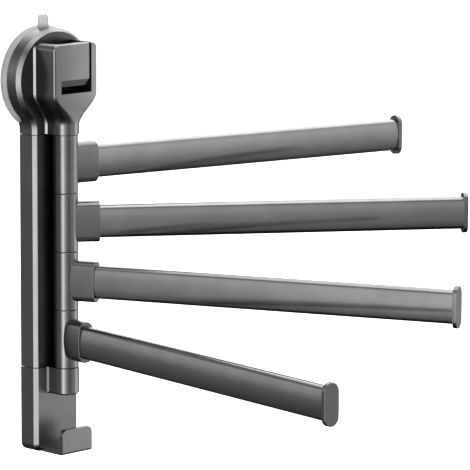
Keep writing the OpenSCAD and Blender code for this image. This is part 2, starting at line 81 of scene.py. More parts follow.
# Sizes that the frame gives
RAIL_LOW, RAIL_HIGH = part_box("rail")
RAIL_FRONT = -RAIL_LOW.y
RAIL_HALF = RAIL_HIGH.x
PIVOTS = {joint["name"]: Vector(joint["pos_m"]) for joint in frame["joints"] if "pos_m" in joint}
SHAFT_DEPTH = -PIVOTS["arm_1_swing"].y
PIN_DEPTH = -PIVOTS["lever_flip"].y
HOUSING_LOW, HOUSING_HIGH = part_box("lever_housing")
HOUSING_FRONT = -HOUSING_LOW.y
COLLAR_BOTTOM = HOUSING_LOW.z
HOUSING_TOP = HOUSING_HIGH.z
CUP_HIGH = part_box("suction_cup")[1]
CUP_R = CUP_HIGH.x

# Overrun of cuts, rounding of plain edges, and distance at which points join
OVER = 1 * MM
EASE = 0.28 * MM
WELD = 1e-6

# Degrees up to which neighbouring faces count as one plane, in eased pieces, and in the hubs and the cup
FLAT = 0.08
FINE_FLAT = 0.05

# Weight of large faces in the shading, and most corners of a face that is shaded smoothly
FLAT_WEIGHT = 80
MOST_CORNERS = 24

# Slack when faces are picked by place, and the y of the normal of a face that counts as facing front
INSIDE = 0.02 * MM
FRONT_SLACK = 0.05 * MM
FRONT_NORMAL = -0.99

# Facing turns a drawing of across, up and depth from the wall into place
FACING = Matrix(((1, 0, 0, 0), (0, 0, -1, 0), (0, 1, 0, 0), (0, 0, 0, 1)))


# Meshes

def new_object(name, points, faces):
    mesh = bpy.data.meshes.new(name)
    mesh.from_pydata([tuple(p) for p in points], [], faces)
    work = bmesh.new()
    work.from_mesh(mesh)
    bmesh.ops.recalc_face_normals(work, faces=work.faces)
    work.to_mesh(mesh)
    work.free()
    obj = bpy.data.objects.new(name, mesh)
    SCENE.collection.objects.link(obj)
    return obj


def through_rings(name, rings, closed=False):
    """A solid through rings of as many points each, capped at both ends unless it closes on itself."""
    count = len(rings[0])
    points = [p for ring in rings for p in ring]
    pairs = [(k, k + 1) for k in range(len(rings) - 1)]
    if closed:
        pairs.append((len(rings) - 1, 0))
    faces = []
    for a, b in pairs:
        for k in range(count):
            n = (k + 1) % count
            faces.append((a * count + k, a * count + n, b * count + n, b * count + k))
    if not closed:
        faces.append(tuple(range(count)))
        faces.append(tuple((len(rings) - 1) * count + k for k in reversed(range(count))))
    return new_object(name, points, faces)


def revolved(name, profile, steps, place):
    """A solid of revolution about the local z axis, from radius and height pairs of one closed profile."""
    turns = [2 * pi * k / steps for k in range(steps)]
    points, faces, index = [], [], []
    for r, z in profile:
        if r == 0:
            index.append([len(points)] * steps)
            points.append(place @ Vector((0, 0, z)))
        else:
            index.append(list(range(len(points), len(points) + steps)))
            points += [place @ Vector((r * cos(turn), r * sin(turn), z)) for turn in turns]
    for a, b in zip(index, index[1:] + index[:1]):
        for k in range(steps):
            n = (k + 1) % steps
            face = list(dict.fromkeys((a[k], a[n], b[n], b[k])))
            if len(face) > 2:
                faces.append(face)
    return new_object(name, points, faces)


def cylinder(name, r, start, end, steps, place):
    return revolved(name, [(0, start), (r, start), (r, end), (0, end)], steps, place)


def block(name, low, high):
    xs, ys, zs = zip(low, high)
    points = [Vector((x, y, z)) for x in xs for y in ys for z in zs]
    sides = [(0, 1, 3, 2), (4, 6, 7, 5), (0, 4, 5, 1), (2, 3, 7, 6), (0, 2, 6, 4), (1, 5, 7, 3)]
    return new_object(name, points, sides)


def arc(x, y, r, start, end, steps):
    """Points of an arc about a centre, between two angles in degrees."""
    turns = [radians(start + (end - start) * k / steps) for k in range(steps + 1)]
    return [(x + r * cos(turn), y + r * sin(turn)) for turn in turns]


def settle(obj):
    """Replaces the object's mesh with the result of its modifiers."""
    graph = bpy.context.evaluated_depsgraph_get()
    mesh = bpy.data.meshes.new_from_object(obj.evaluated_get(graph))
    old = obj.data
    obj.modifiers.clear()
    obj.data = mesh
    bpy.data.meshes.remove(old)


def combine(obj, other, operation):
    """Adds another solid to this one, or cuts it away, and removes the other."""
    step = obj.modifiers.new("combine", "BOOLEAN")
    step.object = other
    step.operation = operation
    step.solver = "EXACT"
    settle(obj)
    bpy.data.objects.remove(other)


def join(obj, other):
    combine(obj, other, "UNION")


def cut(obj, other):
    combine(obj, other, "DIFFERENCE")


def weld(obj, flat=FLAT):
    """Joins points that meet and dissolves edges between faces that lie in one plane."""
    work = bmesh.new()
    work.from_mesh(obj.data)
    bmesh.ops.remove_doubles(work, verts=work.verts, dist=WELD)
    bmesh.ops.dissolve_limit(work, angle_limit=radians(flat), verts=work.verts, edges=work.edges)
    work.to_mesh(obj.data)
    work.free()


def smooth(obj, sharp=30):
    """Shades curved faces smoothly, while large flat faces keep their own normals."""
    for face in obj.data.polygons:
        face.use_smooth = len(face.vertices) <= MOST_CORNERS
    obj.data.set_sharp_from_angle(angle=radians(sharp))
    step = obj.modifiers.new("normals", "WEIGHTED_NORMAL")
    step.mode = "FACE_AREA_WITH_ANGLE"
    step.weight = FLAT_WEIGHT
    step.keep_sharp = True
    settle(obj)


def ease(obj, width, sharp=28, steps=2, shade=30):
    """Rounds every edge that is sharper than the given angle."""
    weld(obj)
    step = obj.modifiers.new("ease", "BEVEL")
    step.width = width
    step.segments = steps
    step.limit_method = "ANGLE"
    step.angle_limit = radians(sharp)
    step.harden_normals = False
    step.use_clamp_overlap = True
    settle(obj)
    smooth(obj, shade)
    return obj


# Pieces in the place of CAD nodes

def copy_of(node, name):
    obj = bpy.data.objects.new(name, NODES[node].data.copy())
    SCENE.collection.objects.link(obj)
    work = bmesh.new()
    work.from_mesh(obj.data)
    bmesh.ops.remove_doubles(work, verts=work.verts, dist=WELD)
    work.to_mesh(obj.data)
    work.free()
    return obj


def dress(obj, node, material):
    """Puts a piece in the place of a CAD node, on its body and with its slot."""
    obj.data.materials.clear()
    obj.data.materials.append(material)
    for face in obj.data.polygons:
        face.material_index = 0
    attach(obj, NODES[node]["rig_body"])
    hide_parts(node)
    return obj


def eased_copy(node, name, material):
    return ease(dress(copy_of(node, name), node, material), EASE)


def finish_faces(obj, material, chosen):
    """Gives the faces that a test picks a material of their own: a rougher finish, or a darker colour that is
    painted shade.
    """
    obj.data.materials.append(material)
    for face in obj.data.polygons:
        if chosen(face):
            face.material_index = 1


def on_rail_front(face):
    return face.normal.y < FRONT_NORMAL and abs(face.center.y + RAIL_FRONT) < FRONT_SLACK


def paint(node, material):
    for place in NODES[node].material_slots:
        place.material = material


# Materials

# Scale of the cloudy variation, and detail and depth of the grain
CLOUD_SCALE = 45
GRAIN_DETAIL = 3
GRAIN_DEPTH = 0.02 * MM

# Scale and detail of smudges, the noise between which they set in, and how much rougher they are
SMUDGE_SCALE = 22
SMUDGE_DETAIL = 4
SMUDGE_LIMITS = (0.52, 0.66)
SMUDGE = 0.04

# The rubber turns paler and clearer between a height below the top of the cup's rim and one above it
RUBBER_IOR = 1.41
RUBBER_CLOUD_SCALE = 90
CLOUDS_SHARE = 0.2
CLEARNESS = (0.2, 0.42)
THICK_BELOW = 3 * MM
THIN_ABOVE = 0.5 * MM


def node_tree(name):
    material = bpy.data.materials.new(name)
    material.use_nodes = True
    tree = material.node_tree
    return material, tree, tree.nodes["Principled BSDF"]


def noise(tree, scale, detail=2, stretch=(1, 1, 1)):
    """Noise in the part's own metres, drawn out along an axis by a small share there."""
    where = tree.nodes.new("ShaderNodeTexCoord")
    mapping = tree.nodes.new("ShaderNodeMapping")
    mapping.inputs["Scale"].default_value = stretch
    tree.links.new(where.outputs["Object"], mapping.inputs["Vector"])
    texture = tree.nodes.new("ShaderNodeTexNoise")
    texture.inputs["Scale"].default_value = scale
    texture.inputs["Detail"].default_value = detail
    tree.links.new(mapping.outputs["Vector"], texture.inputs["Vector"])
    return texture.outputs["Fac"]


def spread(tree, source, low, high, start=0.3, end=0.7):
    """Maps a factor between start and end to a value between low and high."""
    node = tree.nodes.new("ShaderNodeMapRange")
    node.inputs["From Min"].default_value = start
    node.inputs["From Max"].default_value = end
    node.inputs["To Min"].default_value = low
    node.inputs["To Max"].default_value = high
    tree.links.new(source, node.inputs["Value"])
    return node.outputs["Result"]


def total(tree, first, second):
    node = tree.nodes.new("ShaderNodeMath")
    node.operation = "ADD"
    tree.links.new(first, node.inputs[0])
    tree.links.new(second, node.inputs[1])
    return node.outputs[0]


def tinted(tree, shader, factor, low, high):
    """Mixes two colours by a factor into the shader's base colour."""
    node = tree.nodes.new("ShaderNodeMix")
    node.data_type = "RGBA"
    tree.links.new(factor, node.inputs["Factor"])
    node.inputs["A"].default_value = (*low, 1)
    node.inputs["B"].default_value = (*high, 1)
    tree.links.new(node.outputs["Result"], shader.inputs["Base Color"])


def bumped(tree, shader, height, strength):
    node = tree.nodes.new("ShaderNodeBump")
    node.inputs["Strength"].default_value = strength
    node.inputs["Distance"].default_value = GRAIN_DEPTH
    tree.links.new(height, node.inputs["Height"])
    tree.links.new(node.outputs["Normal"], shader.inputs["Normal"])


def metal(name, dark, light, rough, grain, bump, stretch=(1, 1, 1)):
    """Metal with a fine grain in its roughness and relief, cloudy variation and duller smudges."""
    material, tree, shader = node_tree(name)
    shader.inputs["Metallic"].default_value = 1
    fine = noise(tree, grain, GRAIN_DETAIL, stretch)
    broad = noise(tree, CLOUD_SCALE)
    smudge = noise(tree, SMUDGE_SCALE, SMUDGE_DETAIL)
    tinted(tree, shader, spread(tree, broad, 0, 1), dark, light)
    grained = spread(tree, fine, *rough)
    smudged = spread(tree, smudge, 0, SMUDGE, *SMUDGE_LIMITS)
    tree.links.new(total(tree, grained, smudged), shader.inputs["Roughness"])
    bumped(tree, shader, fine, bump)
    return material


def plastic(name, dark, light, rough, grain, bump):
    """Matte moulded plastic with a fine grain and cloudy variation."""
    material, tree, shader = node_tree(name)
    fine = noise(tree, grain, GRAIN_DETAIL)
    broad = noise(tree, CLOUD_SCALE)
    tinted(tree, shader, spread(tree, broad, 0, 1), dark, light)
    tree.links.new(spread(tree, fine, *rough), shader.inputs["Roughness"])
    bumped(tree, shader, fine, bump)
    return material


def silicone(name, dark, light, rough, grain, bump):
    """Soft clear rubber with a moulded grain: grey where it is thick, and paler in the thin tab."""
    material, tree, shader = node_tree(name)
    shader.inputs["IOR"].default_value = RUBBER_IOR
    fine = noise(tree, grain)
    broad = noise(tree, RUBBER_CLOUD_SCALE)
    where = tree.nodes.new("ShaderNodeTexCoord")
    parts = tree.nodes.new("ShaderNodeSeparateXYZ")
    tree.links.new(where.outputs["Object"], parts.inputs[0])
    thin = spread(tree, parts.outputs["Z"], 0, 1, CUP_R - THICK_BELOW, CUP_R + THIN_ABOVE)
    clouds = spread(tree, broad, 0, CLOUDS_SHARE)
    paler = spread(tree, thin, 0, 1 - CLOUDS_SHARE, 0, 1)
    tinted(tree, shader, total(tree, clouds, paler), dark, light)
    tree.links.new(spread(tree, thin, *CLEARNESS, 0, 1), shader.inputs["Transmission Weight"])
    tree.links.new(spread(tree, fine, *rough), shader.inputs["Roughness"])
    bumped(tree, shader, fine, bump)
    return material


GUNMETAL = metal("gunmetal_satin", (0.156, 0.156, 0.156), (0.18, 0.18, 0.18), (0.21, 0.25), 2600, 0.2)
BAR_METAL = metal("bar_satin", (0.215, 0.215, 0.216), (0.245, 0.245, 0.246), (0.15, 0.2), 2600, 0.2)
STEEL = metal("turned_steel", (0.5, 0.5, 0.51), (0.64, 0.64, 0.65), (0.22, 0.34), 1800, 0.4, (1, 1, 0.15))
INNER = plastic("inner_black", (0.018, 0.018, 0.018), (0.03, 0.03, 0.031), (0.5, 0.62), 2200, 0.35)
# Darker copy of the gunmetal for the flat fronts of the rail and head: painted shade for the dark reflections
# of the hubs and housing in front of them
FRONT_PAINTED_SHADE = metal("front_painted_shade", (0.065, 0.065, 0.064), (0.085, 0.085, 0.084), (0.26, 0.32), 2400, 0.25)
FRONT_SOFT = metal("front_satin_soft", (0.15, 0.15, 0.15), (0.175, 0.175, 0.175), (0.36, 0.42), 2400, 0.25)
# Near-black copy for the faces inside the lever's window: painted shade for the deep gap there
SHADE = metal("painted_shade_inside", (0.03, 0.03, 0.03), (0.045, 0.045, 0.045), (0.5, 0.6), 1500, 0.6)
# Darker copy of the gunmetal for the caps' end faces: painted shade, so that the end face reads darker than
# its rim
CAP_END_SHADE = metal("cap_end_painted_shade", (0.118, 0.118, 0.116), (0.138, 0.138, 0.135), (0.26, 0.31), 2600, 0.2)
SILICONE = silicone("cup_silicone", (0.26, 0.265, 0.27), (0.6, 0.61, 0.62), (0.3, 0.36), 900, 0.08)


# Arms

# Crown of the side faces in degrees, and the share of the half height that they reach
BAR_SHAPE = {"crown": 15, "face_share": 0.75}
BOSS_SHAPE = {"crown": 8, "face_share": 0.7}
CAP_SHAPE = {"crown": 1.5, "face_share": 0.6}

# The bar's wall, its gap to what it fits, rounding of end edges, and the screw's hole
BAR_WALL = 1.2 * MM
FIT = 0.1 * MM
HUB_RIM = 0.35 * MM
BOSS_RIM = 0.4 * MM
CAP_RIM = 0.5 * MM
PLUG_TIP = 0.6 * MM
SCREW_HOLE_R = 2.4 * MM
SCREW_HOLE_DEPTH = 2.2 * MM

# How finely the outlines are divided
SECTION_STEPS = 6
RIM_STEPS = 4
HUB_RIM_STEPS = 3
HUB_STEPS = 128
HOLE_STEPS = 40


def section(half, high, crown, face_share):
    """Closed outline across an arm: crowned faces up to a share of its half height, then round corners."""
    turn = high * face_share
    curve = turn / sin(radians(crown))
    edge = half - curve * (1 - cos(radians(crown)))
    r = (high - turn) / (1 - sin(radians(crown)))
    face = arc(half - curve, 0, curve, 0, crown, SECTION_STEPS)
    corner = arc(edge - r * cos(radians(crown)), high - r, r, crown, 90, 2 * SECTION_STEPS)
    quarter = face + corner[1:]
    upper = quarter + [(-y, z) for y, z in reversed(quarter)]
    lower = [(y, -z) for y, z in reversed(upper)]
    return upper + lower[1:-1]


def ring(place, x, outline):
    return [place @ Vector((x, y, z)) for y, z in outline]


def rounded_rings(place, start, end, half, high, shape, rims):
    """Rings of a solid along an arm whose two end edges are rounded."""
    first, last = rims
    turns = [pi / 2 * k / RIM_STEPS for k in range(RIM_STEPS + 1)]
    levels = [(first * (1 - sin(turn)), start + first * (1 - cos(turn))) for turn in turns]
    levels += [(last * (1 - cos(turn)), end - last * (1 - sin(turn))) for turn in turns]
    return [ring(place, x, section(half - inset, high - inset, **shape)) for inset, x in levels]


def arm_place(i):
    """Frame of an arm: its shaft's axis is local z and its bar runs along local x."""
    pivot = PIVOTS["arm_%d_swing" % i]
    low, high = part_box("arm_%d_bar" % i)
    along = (low + high) / 2 - pivot
    along.z = 0
    along.normalize()
    side = Vector((0, 0, 1)).cross(along)
    return Matrix((
        (along.x, side.x, 0, pivot.x), (along.y, side.y, 0, pivot.y), (0, 0, 1, pivot.z), (0, 0, 0, 1)
    ))


def local_points(node, place):
    back = place.inverted()
    return [back @ vert.co for vert in NODES[node].data.vertices]


def corners(points):
    """Lowest and highest corner of the box around points."""
    low = Vector([min(p[axis] for p in points) for axis in range(3)])
    high = Vector([max(p[axis] for p in points) for axis in range(3)])
    return low, high


def arm_hub(name, place, bar_start, bar_half, bar_high):
    """The hub around the shaft with its boss, the bar's pocket and the screw's hole from below."""
    points = local_points(name, place)
    low, high = corners(points)
    hub_r, top, reach = -low.x, high.z, high.x
    boss_half, boss_high = corners([p for p in points if p.x > reach - MM])[1].yz
    bore_r = min(sqrt(p.x ** 2 + p.y ** 2) for p in points)

    rim = arc(hub_r - HUB_RIM, top - HUB_RIM, HUB_RIM, 0, 90, HUB_RIM_STEPS)
    profile = rim + [(bore_r, top), (bore_r, -top)] + [(r, -z) for r, z in reversed(rim)]
    hub = revolved("%s_form" % name, profile, HUB_STEPS, place)
    boss = rounded_rings(place, bore_r + MM, reach, boss_half, boss_high, BOSS_SHAPE, (FIT, BOSS_RIM))
    join(hub, through_rings("boss", boss))
    pocket = section(bar_half + FIT, bar_high + FIT, **BAR_SHAPE)
    cut(hub, through_rings("pocket", [ring(place, x, pocket) for x in (bar_start, reach + OVER)]))
    below = place @ Matrix.Translation(((bar_start + reach) / 2, 0, 0))
    hole = (-boss_high - OVER, SCREW_HOLE_DEPTH - boss_high)
    cut(hub, cylinder("hole", SCREW_HOLE_R, *hole, HOLE_STEPS, below))
    weld(hub, FINE_FLAT)
    smooth(hub, sharp=24)
    dress(hub, name, GUNMETAL)


def arm_bar(name, place, start, end, half, high):
    """A hollow bar, open at both ends."""
    outer = section(half, high, **BAR_SHAPE)
    inner = section(half - BAR_WALL, high - BAR_WALL, **BAR_SHAPE)
    around = ((start, outer), (end, outer), (end, inner), (start, inner))
    tube = through_rings("%s_tube" % name, [ring(place, x, outline) for x, outline in around], closed=True)
    smooth(tube, sharp=40)
    dress(tube, name, BAR_METAL)


def arm_cap(name, place, bar_end, bar_half, bar_high):
    """The end cap with the plug that holds it in the bar."""
    low, high = corners(local_points(name, place))
    start, end = low.x, high.x
    half, tall = bar_half - BAR_WALL - FIT, bar_high - BAR_WALL - FIT
    levels = ((start, PLUG_TIP), (start + PLUG_TIP, 0), (bar_end, 0))
    rings = [ring(place, x, section(half - inset, tall - inset, **BAR_SHAPE)) for x, inset in levels]
    rings += rounded_rings(place, bar_end, end, high.y, high.z, CAP_SHAPE, (FIT, CAP_RIM))
    plug = through_rings("%s_plug" % name, rings)
    smooth(plug, sharp=32)
    dress(plug, name, GUNMETAL)
    back = place.inverted()
    # The end face gets the darker copy, which is painted shade
    finish_faces(plug, CAP_END_SHADE, lambda face: (back @ face.center).x > end - INSIDE)


def arm(i):
    place = arm_place(i)
    bar = "arm_%d_bar" % i
    low, high = corners(local_points(bar, place))
    arm_hub("arm_%d_hub" % i, place, low.x, high.y, high.z)
    arm_bar(bar, place, low.x, high.x, high.y, high.z)
    arm_cap("arm_%d_cap" % i, place, high.x, high.y, high.z)


for number in ARMS:
    arm(number)


# Lever housing

COLLAR_R = 10.2 * MM
HOUSING_SIDE = RAIL_HALF
HOUSING_EDGE = 2.1 * MM
HOUSING_CORNER = 5 * MM
HOUSING_CROWN = 0.65 * MM
HOUSING_EASE = 0.22 * MM
FLANGE_W = 1.1 * MM
FLANGE_H = 1.55 * MM

# Heights between which the housing narrows to its collar
NARROW_START = -9 * MM
NARROW_END = -33 * MM

# The window with the seat behind the lever, above which it goes right through
WINDOW_HALF = 14.8 * MM
SILL = -8.7 * MM
SEAT_TOP = 8.4 * MM
SEAT_DEPTH = 24.1 * MM

# Hole for the rod, and the recess for the upper bush
ROD_HOLE_R = 4.05 * MM
BUSH_R = 5 * MM
BUSH_L = 11.5 * MM

# Least half width of flat between two round edges, and how finely the outline is divided
LEAST_FACE = 0.2 * MM
FACE_STEPS = 14
ROUND_STEPS = 8
COLLAR_STEP = 0.25 * MM
NARROW_STEPS = 24
SIDE_STEPS = 6
CORNER_STEPS = 14
LAST_RING = 0.004 * MM
RINGS_ABOVE_FLANGE = 8
ROD_HOLE_STEPS = 48
BUSH_STEPS = 64


def blend(low, high, z):
    """A size that changes softly from low at the collar to high at the housing's straight sides."""
    t = min(1, max(0, (z - NARROW_END) / (NARROW_START - NARROW_END)))
    return low + (high - low) * (t * t * (3 - 2 * t))


def rounded_off(z, radius):
    """How far an edge of this radius has drawn in at a height near the top."""
    above = max(0, z - HOUSING_TOP + radius)
    return radius - sqrt(max(0, radius ** 2 - above ** 2))


def housing_level(z):
    """Half width, front depth and edge radius at a height."""
    w = blend(COLLAR_R, HOUSING_SIDE, z) - rounded_off(z, HOUSING_CORNER)
    f = blend(SHAFT_DEPTH + COLLAR_R, HOUSING_FRONT, z) - rounded_off(z, HOUSING_EDGE)
    return w, f, min(blend(COLLAR_R, HOUSING_EDGE, z), w - LEAST_FACE)


def housing_ring(z):
    w, f, r = housing_level(z)
    left = arc(-w + r, -f + r, r, 180, 270, ROUND_STEPS)
    right = arc(w - r, -f + r, r, 270, 360, ROUND_STEPS)
    middle = [(-(w - r) + 2 * (w - r) * k / FACE_STEPS, -f) for k in range(1, FACE_STEPS)]
    crown = blend(0, HOUSING_CROWN, z)
    points = []
    for x, y in [(-w, -RAIL_FRONT)] + left + middle + right + [(w, -RAIL_FRONT)]:
        drop = crown * (x / HOUSING_SIDE) ** 2
        rise = min(1, (-y - RAIL_FRONT) / (f - RAIL_FRONT))
        points.append(Vector((x, y + drop * rise, z)))
    return points


def flange_ring(z):
    """The sloped foot of the housing, whose top edge lies inside its side."""
    w = housing_level(z)[0]
    outer, sunk, inner = w + FLANGE_W, w - OVER, w - MM
    top = -RAIL_FRONT - FLANGE_H * (outer - sunk) / FLANGE_W
    left = [(-outer, -RAIL_FRONT), (-sunk, top), (-inner, top)]
    return [Vector((x, y, z)) for x, y in left + [(-x, y) for x, y in reversed(left)]]


def housing_heights():
    side = HOUSING_TOP - HOUSING_CORNER - NARROW_START
    heights = [COLLAR_BOTTOM, COLLAR_BOTTOM + COLLAR_STEP, (COLLAR_BOTTOM + NARROW_END) / 2]
    heights += [NARROW_END + (NARROW_START - NARROW_END) * k / NARROW_STEPS for k in range(NARROW_STEPS + 1)]
    heights += [NARROW_START + side * k / SIDE_STEPS for k in range(1, SIDE_STEPS)]
    heights += [
        HOUSING_TOP - HOUSING_CORNER * (1 - sin(radians(90 * k / CORNER_STEPS))) for k in range(CORNER_STEPS)
    ]
    return heights + [HOUSING_TOP - LAST_RING]


def in_window(face):
    x, y, z = face.center
    within = abs(x) < WINDOW_HALF + INSIDE and z > SILL - INSIDE
    return within and -y < HOUSING_FRONT - 2 * INSIDE


def lever_housing():
    """The housing narrows downward into the collar around the shaft, and its window holds the lever."""
    heights = housing_heights()
    body = through_rings("lever_housing_form", [housing_ring(z) for z in heights])
    join(body, through_rings("flange", [flange_ring(z) for z in heights[:-RINGS_ABOVE_FLANGE]]))
    front = -HOUSING_FRONT - OVER
    window_high = (WINDOW_HALF, -SEAT_DEPTH, HOUSING_TOP + OVER)
    cut(body, block("window", (-WINDOW_HALF, front, SILL), window_high))
    well_high = (WINDOW_HALF, -RAIL_FRONT + OVER, HOUSING_TOP + 2 * OVER)
    cut(body, block("well", (-WINDOW_HALF, front, SEAT_TOP), well_high))
    cut(body, cylinder("rod_hole", ROD_HOLE_R, RAIL_FRONT - OVER, HOUSING_FRONT, ROD_HOLE_STEPS, FACING))
    shaft = Matrix.Translation((0, -SHAFT_DEPTH, 0))
    cut(body, cylinder("bush_hole", BUSH_R, COLLAR_BOTTOM - OVER, COLLAR_BOTTOM + BUSH_L, BUSH_STEPS, shaft))
    ease(body, HOUSING_EASE, sharp=32)
    dress(body, "lever_housing", GUNMETAL)
    # Faces inside the window get painted shade
    finish_faces(body, SHADE, in_window)


lever_housing()


# Lever

LEVER_T = 5 * MM
LEVER_FOOT = 13 * MM
LEVER_BEVEL = 0.9 * MM
LEVER_EASE = 0.5 * MM

# The cam, whose centre lies this far behind and above the pin
CAM_R = 5.9 * MM
CAM_OFFSET = 1.5 * MM
CAM_LOW = CAM_R - CAM_OFFSET

# The front face ends at this height, where the lever folds back to a round tip
FOLD_TOP = 0.9 * MM
FOLD_BACK = 1.7 * MM
TIP_R = 1.2 * MM
TIP_END = -160

# Holes for the pin and for the rod's eye
PIN_R = 1.55 * MM
SLOT_HALF = 3.35 * MM
SLOT_ROUND = 4.35 * MM
CAM_STEPS = 40
TIP_STEPS = 8
LEVER_SLICES = 16
PIN_STEPS = 32


def lever():
    """The lever has its cam behind, a folded tip below, and a slot for the rod's eye."""
    low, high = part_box("lever")
    half, top, front = high.x, high.z, -low.y
    back = LEVER_T - front
    outline = [(-front, top - LEVER_BEVEL), (LEVER_BEVEL - front, top), (back, top), (back, LEVER_FOOT)]
    outline += arc(-(PIN_DEPTH - CAM_OFFSET), CAM_OFFSET, CAM_R, 90, -90, CAM_STEPS)
    outline += arc(FOLD_BACK + TIP_R - front, TIP_R - CAM_LOW, TIP_R, -90, TIP_END, TIP_STEPS)
    outline += [(-front, FOLD_TOP)]
    rings = []
    for k in range(LEVER_SLICES + 1):
        x = half * (2 * k / LEVER_SLICES - 1)
        drop = HOUSING_CROWN * (x / HOUSING_SIDE) ** 2
        rings.append([
            Vector((x, y + drop * min(1, max(0, (back - y) / LEVER_T)), z)) for y, z in outline
        ])
    body = through_rings("lever_form", rings)
    slot_low = (-SLOT_HALF, -PIN_DEPTH - SLOT_ROUND, -CAM_LOW - OVER)
    cut(body, block("slot", slot_low, (SLOT_HALF, 0, SLOT_ROUND)))
    across = Matrix.Translation((0, -PIN_DEPTH, 0)) @ Matrix.Rotation(pi / 2, 4, "Y")
    cut(body, cylinder("pin_hole", PIN_R, -half - OVER, half + OVER, PIN_STEPS, across))
    ease(body, LEVER_EASE, sharp=32, steps=8, shade=12)
    dress(body, "lever", GUNMETAL)


lever()


# Suction cup

# The head's radius, and the depth at which the cup meets its back
HEAD_R = 36.8 * MM
HEAD_DEPTH = 12.6 * MM
HEAD_BACK = RAIL_FRONT - HEAD_DEPTH

# Inner radius of the seal, height of the dome, rounding and depth of the rim, and the degrees that its
# front edge turns
SEAL_R = 30 * MM
DOME = 3 * MM
LIP = 0.8 * MM
BAND = 2.6 * MM
CREST_TURN = 60

# Boss in front, and the pocket in it for the rod's foot
CUP_BOSS_R = 12 * MM
CUP_BOSS_TOP = 8.5 * MM
FOOT_R = 9.05 * MM
FOOT_DEPTH = 4.35 * MM
FOOT_TOP = 6.45 * MM

DOME_STEPS = 24
RIM_BACK_STEPS = 5
RIM_FRONT_STEPS = 4
CUP_STEPS = 160


def suction_cup():
    """The cup has a domed back with a flat seal, a round rim, and a boss that holds the rod's foot."""
    back = [(SEAL_R * k / DOME_STEPS, DOME * (1 - (k / DOME_STEPS) ** 2)) for k in range(DOME_STEPS)]
    rim = arc(CUP_R - LIP, LIP, LIP, -90, 0, RIM_BACK_STEPS)
    crest = arc(CUP_R - LIP, BAND, LIP, 0, CREST_TURN, RIM_FRONT_STEPS)
    profile = back + [(SEAL_R, 0)] + rim + crest + [
        (HEAD_R - LIP, HEAD_BACK), (CUP_BOSS_R, HEAD_BACK), (CUP_BOSS_R, CUP_BOSS_TOP),
        (ROD_HOLE_R, CUP_BOSS_TOP), (ROD_HOLE_R, FOOT_TOP), (FOOT_R, FOOT_TOP), (FOOT_R, FOOT_DEPTH),
        (0, FOOT_DEPTH)
    ]
    body = revolved("suction_cup_form", profile, CUP_STEPS, FACING)
    join(body, tab())
    weld(body, FINE_FLAT)
    smooth(body, sharp=35)
    dress(body, "suction_cup", SILICONE)


TAB_HALF = 4.9 * MM
TAB_CORNER = 3 * MM
TAB_T = 1.5 * MM
TAB_ROOT = 33 * MM
TAB_EDGE = 0.6 * MM
TAB_RIB = 0.35 * MM
TAB_GAP = 0.2 * MM
TAB_BACK = HEAD_BACK - TAB_GAP - TAB_T - TAB_RIB
TAB_COLUMNS = 41

# Number of ribs across the tab, their share of its width, and the heights between which they run
RIBS = 5
RIBBED_SHARE = 0.9
RIB_START = CUP_R + 0.8 * MM
RIB_FADE = 0.4 * MM
RIB_BELOW_TOP = 1.4 * MM
RIB_BELOW_CORNER = 1.2 * MM


def tab():
    """The peel tab, whose front carries soft ribs, as a sheet of strips between its two faces."""
    top = CUP_HIGH.z
    front = -(TAB_BACK + TAB_T)
    rings = []
    for k in range(TAB_COLUMNS + 1):
        x = TAB_HALF * (2 * k / TAB_COLUMNS - 1)
        past = max(0, abs(x) - TAB_HALF + TAB_CORNER)
        high = top - TAB_CORNER + sqrt(max(0, TAB_CORNER ** 2 - past ** 2))
        wave = max(0, cos(pi * RIBS * x / TAB_HALF))
        proud = front - (TAB_RIB * wave if abs(x) < TAB_HALF * RIBBED_SHARE else 0)
        rib_end = max(RIB_START, min(top - RIB_BELOW_TOP, high - RIB_BELOW_CORNER))
        rings.append([Vector((x, y, z)) for y, z in (
            (-TAB_BACK, TAB_ROOT), (-TAB_BACK, high), (front + TAB_EDGE, high), (front, high - TAB_EDGE),
            (proud, rib_end), (proud, RIB_START), (front, RIB_START - RIB_FADE), (front, TAB_ROOT)
        )])
    return through_rings("tab", rings)


suction_cup()


# Rail, head, bracket and the pieces behind

SOCKET_HALF = 9.6 * MM
SOCKET_FLANGE = 1.2 * MM
SOCKET_SINK = 0.1 * MM
SOCKET_ROOT = 0.2 * MM
SOCKET_BOTTOM = -231.4 * MM
SOCKET_TOP = -211.85 * MM
SOCKET_CHAMFER = 1.2 * MM
SOCKET_FOOT_SHARE = 0.9
BRACKET_EASE = 0.35 * MM


def lower_bracket():
    """The bracket with a sloped foot along each side of its socket."""
    body = copy_of("lower_bracket", "lower_bracket_form")
    outer, sunk = SOCKET_HALF + SOCKET_FLANGE, SOCKET_HALF - SOCKET_SINK
    root = -RAIL_FRONT + SOCKET_ROOT
    top = -RAIL_FRONT - SOCKET_FLANGE - SOCKET_SINK
    left = [(-outer, root), (-outer, -RAIL_FRONT), (-sunk, top)]
    outline = left + [(-x, y) for x, y in reversed(left)]
    levels = ((SOCKET_BOTTOM, SOCKET_FOOT_SHARE), (SOCKET_BOTTOM + SOCKET_CHAMFER, 1), (SOCKET_TOP, 1))
    rings = [[Vector((x * share, y, z)) for x, y in outline] for z, share in levels]
    join(body, through_rings("flange", rings))
    ease(body, BRACKET_EASE, steps=3)
    finish_faces(dress(body, "lower_bracket", GUNMETAL), FRONT_SOFT, on_rail_front)


# The flat fronts of the rail and head get the darker copy, which is painted shade
finish_faces(eased_copy("rail", "rail_channel", GUNMETAL), FRONT_PAINTED_SHADE, on_rail_front)
finish_faces(eased_copy("head_shell", "head_form", GUNMETAL), FRONT_PAINTED_SHADE, on_rail_front)
eased_copy("rail_cover", "rail_cover_plate", INNER)
lower_bracket()

